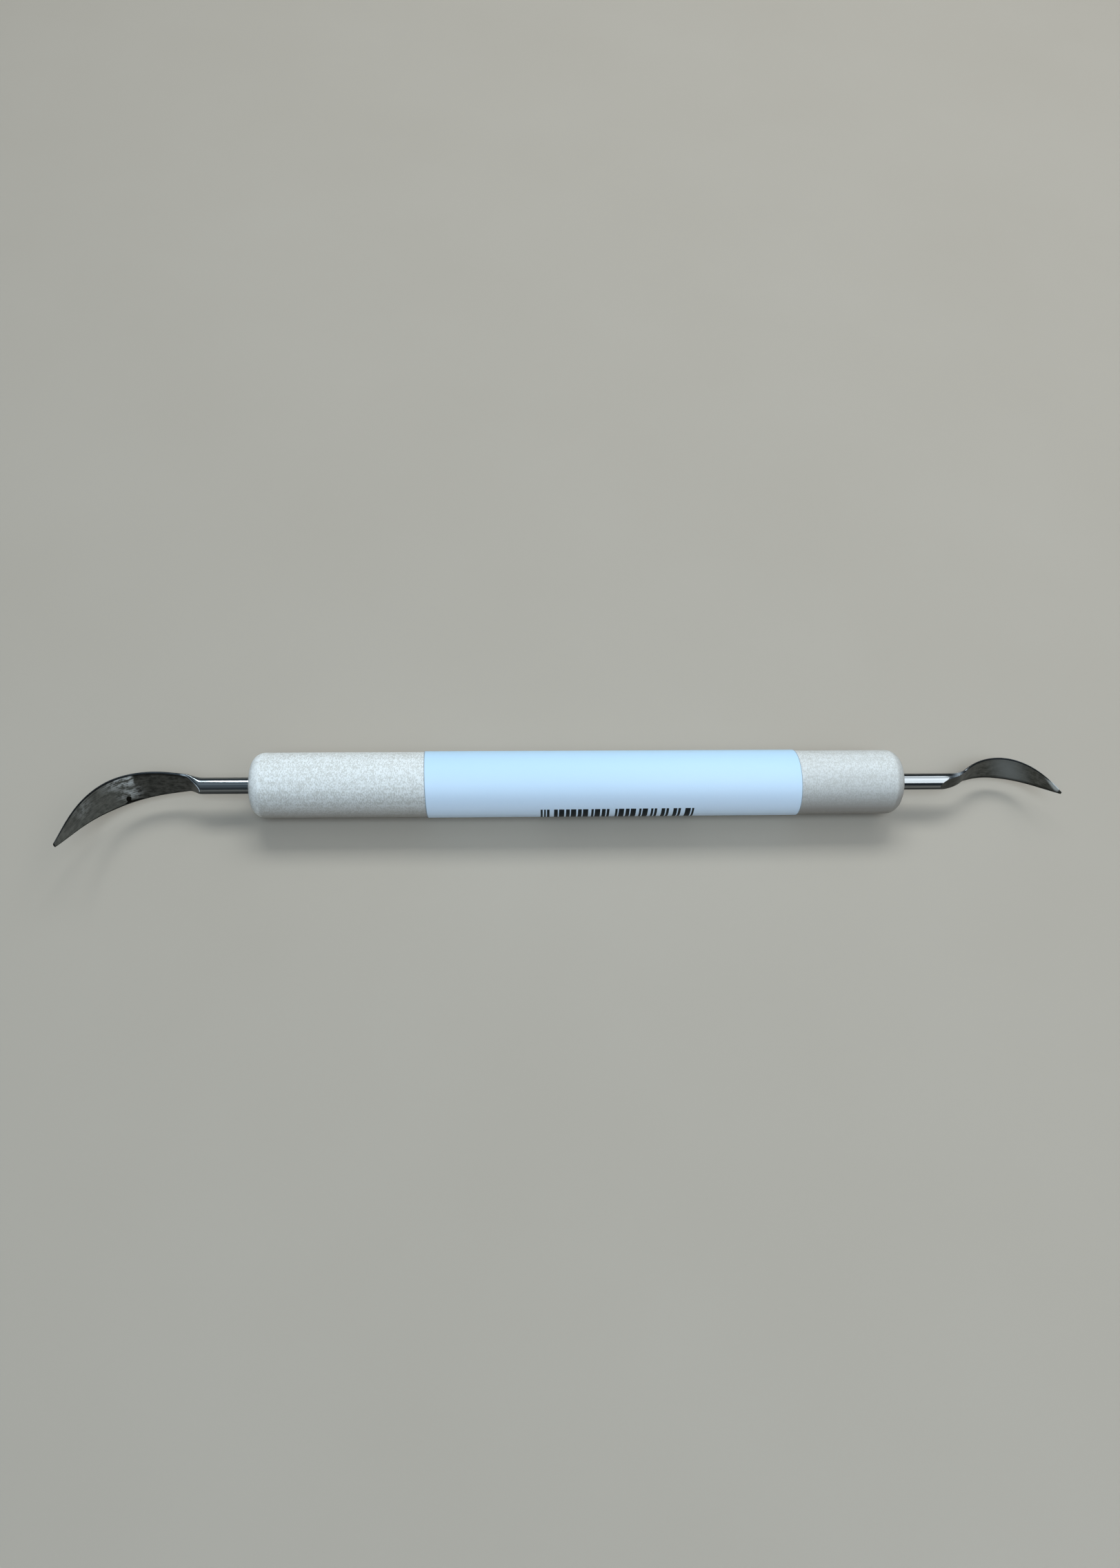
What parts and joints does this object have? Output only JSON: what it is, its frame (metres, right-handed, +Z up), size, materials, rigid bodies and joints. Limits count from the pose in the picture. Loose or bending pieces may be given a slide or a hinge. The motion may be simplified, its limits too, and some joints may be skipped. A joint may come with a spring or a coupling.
{
  "type": "pottery clean-up tool",
  "caption": "Pottery clean-up tool: a round wooden handle with a paper label, and a steel rod in each end forged into a curved leaf blade, one large and one small.",
  "frame": {"origin": "the label's lowest flat, on which the tool lies, under the middle of the handle", "axes": "+X along the handle towards the small blade, +Z up from the surface that the tool lies on, both ground faces towards -Y and turned up 22 degrees"},
  "size_m": [0.1919, 0.0219, 0.013],
  "materials": {
    "wood": "bare, finely sanded",
    "paper": "smooth, faintly glossy",
    "steel": "polished rod, ground and darkened leaf",
    "glue": "cured, clear amber"
  },
  "bodies": {
    "root": {"handle": "wood", "paper_label": "paper", "large_blade": "steel", "large_tang_glue": "glue", "small_blade": "steel", "small_tang_glue": "glue"}
  },
  "joints": []
}
